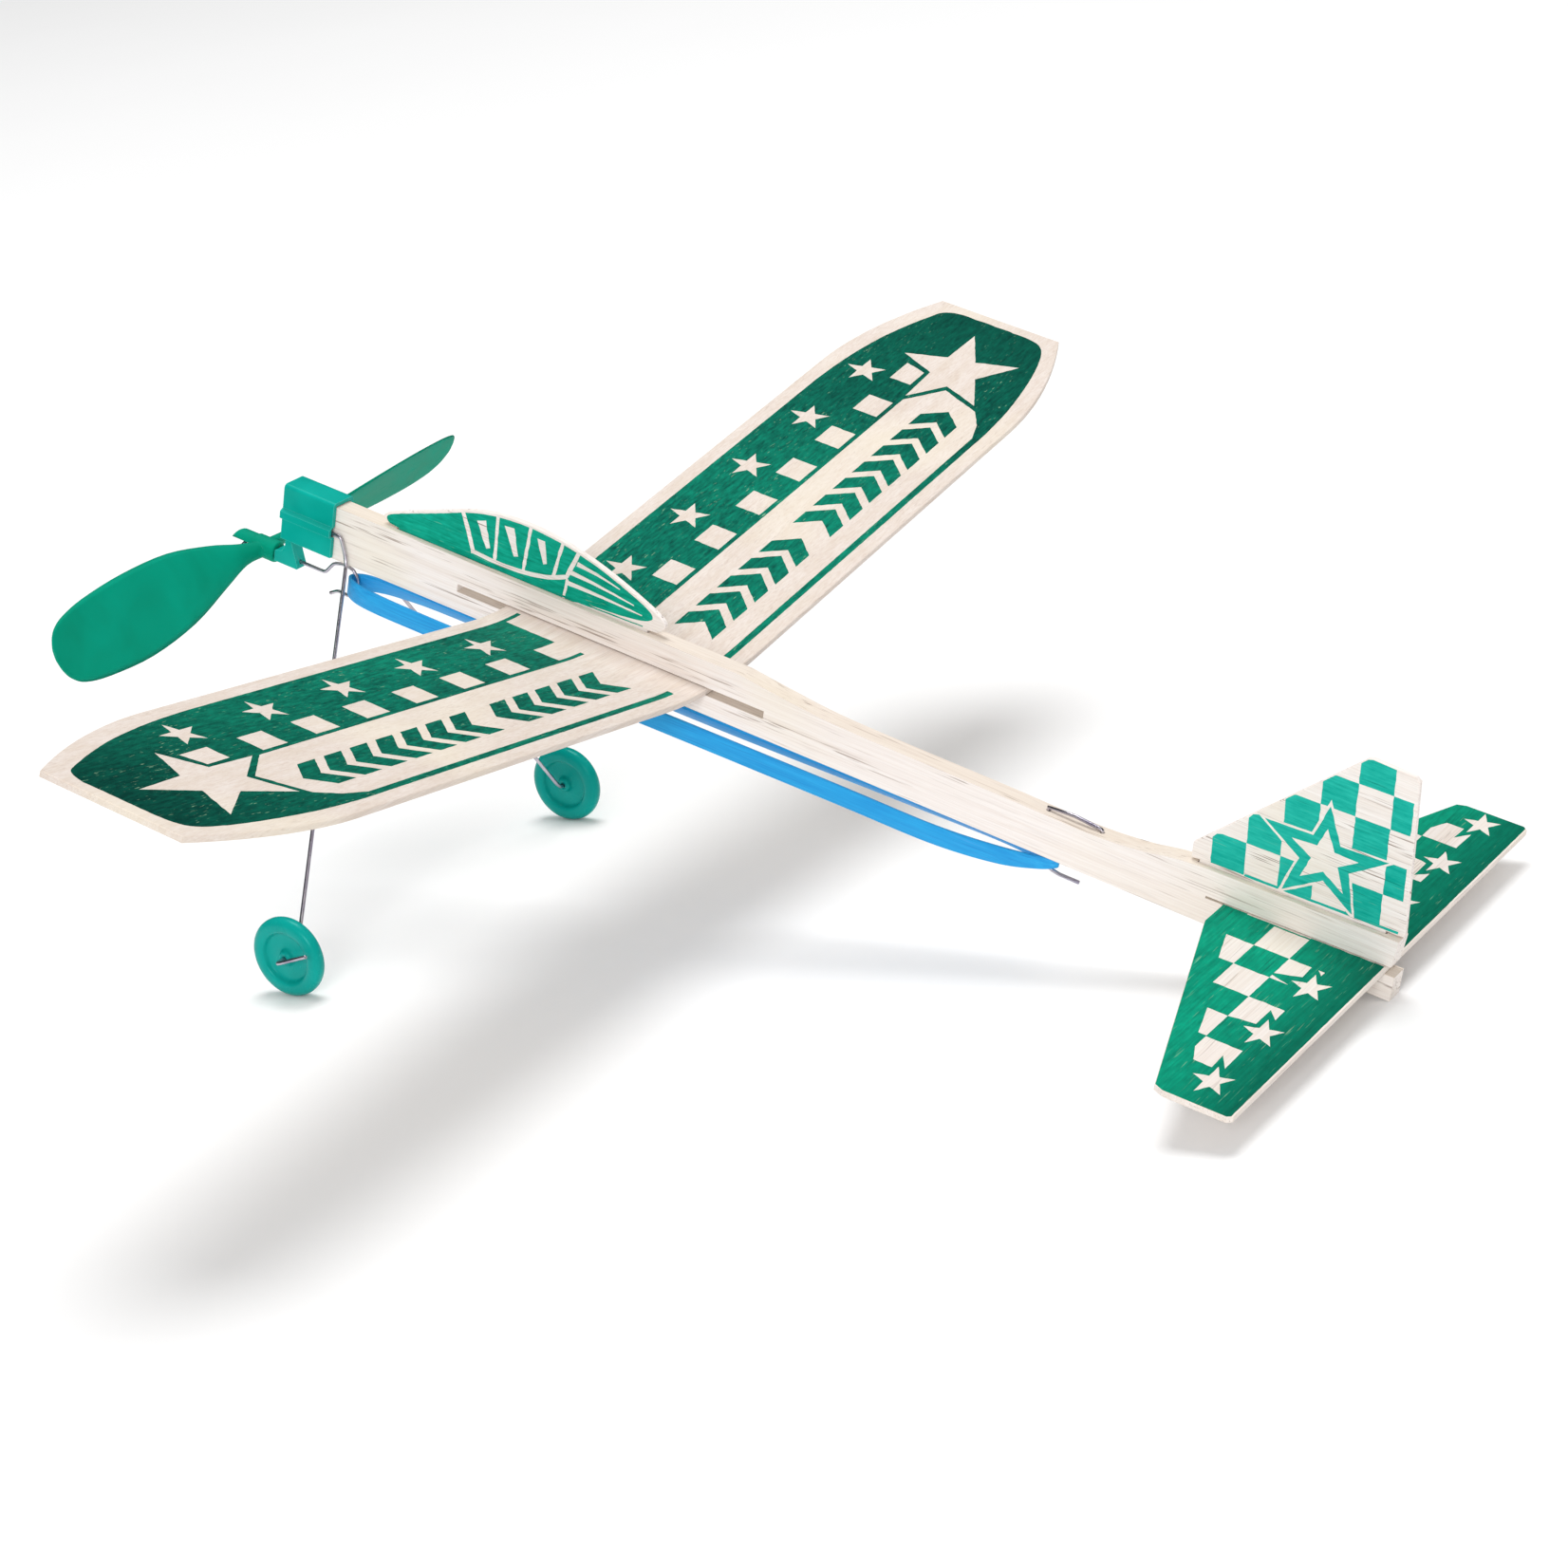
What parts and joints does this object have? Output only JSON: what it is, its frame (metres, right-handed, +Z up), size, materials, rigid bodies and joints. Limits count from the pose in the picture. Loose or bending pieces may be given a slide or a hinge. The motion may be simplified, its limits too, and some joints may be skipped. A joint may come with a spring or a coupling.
{
  "type": "rubber band plane",
  "caption": "Balsa sheet model aircraft with a sliding wing, a free-turning propeller driven by a twisted rubber band, and wire landing gear with two wheels.",
  "frame": {"origin": "middle of the bounding box's underside, on the ground that the wheels and the tail's heel stand on", "axes": "+X towards the nose, level with the ground; +Y to port, along the span; +Z up"},
  "size_m": [0.3402, 0.3952, 0.1202],
  "materials": {
    "balsa": "bare balsa sheet, part printed in green",
    "green_plastic": "moulded, slightly glossy",
    "steel_wire": "drawn spring wire",
    "blue_rubber": "satin"
  },
  "bodies": {
    "airframe": {"fuselage": "balsa", "cockpit_panel": "balsa", "fin": "balsa", "stabilizer": "balsa", "nose_housing": "green_plastic", "rear_hook": "steel_wire", "rubber_band": "blue_rubber", "landing_gear": "steel_wire"},
    "wing": {"wing": "balsa"},
    "propeller": {"propeller": "green_plastic", "propeller_shaft": "steel_wire"},
    "wheel_left": {"wheel_left": "green_plastic"},
    "wheel_right": {"wheel_right": "green_plastic"}
  },
  "joints": [
    {"name": "propeller_spin", "type": "hinge", "parent": "airframe", "child": "propeller", "pos_m": [0.16097, 0, 0.10082], "axis": [0.9475, 0, 0.3197], "continuous": true, "deforming": ["rubber_band"]},
    {"name": "wing_trim", "type": "slide", "parent": "airframe", "child": "wing", "axis": [0.9475, 0, 0.3197], "range_m": [-0.0165, 0.0155]},
    {"name": "wheel_left_spin", "type": "hinge", "parent": "airframe", "child": "wheel_left", "pos_m": [0.1231, 0.0637, 0.011], "axis": [0, 1, 0], "continuous": true},
    {"name": "wheel_right_spin", "type": "hinge", "parent": "airframe", "child": "wheel_right", "pos_m": [0.1231, -0.0637, 0.011], "axis": [0, 1, 0], "continuous": true}
  ]
}
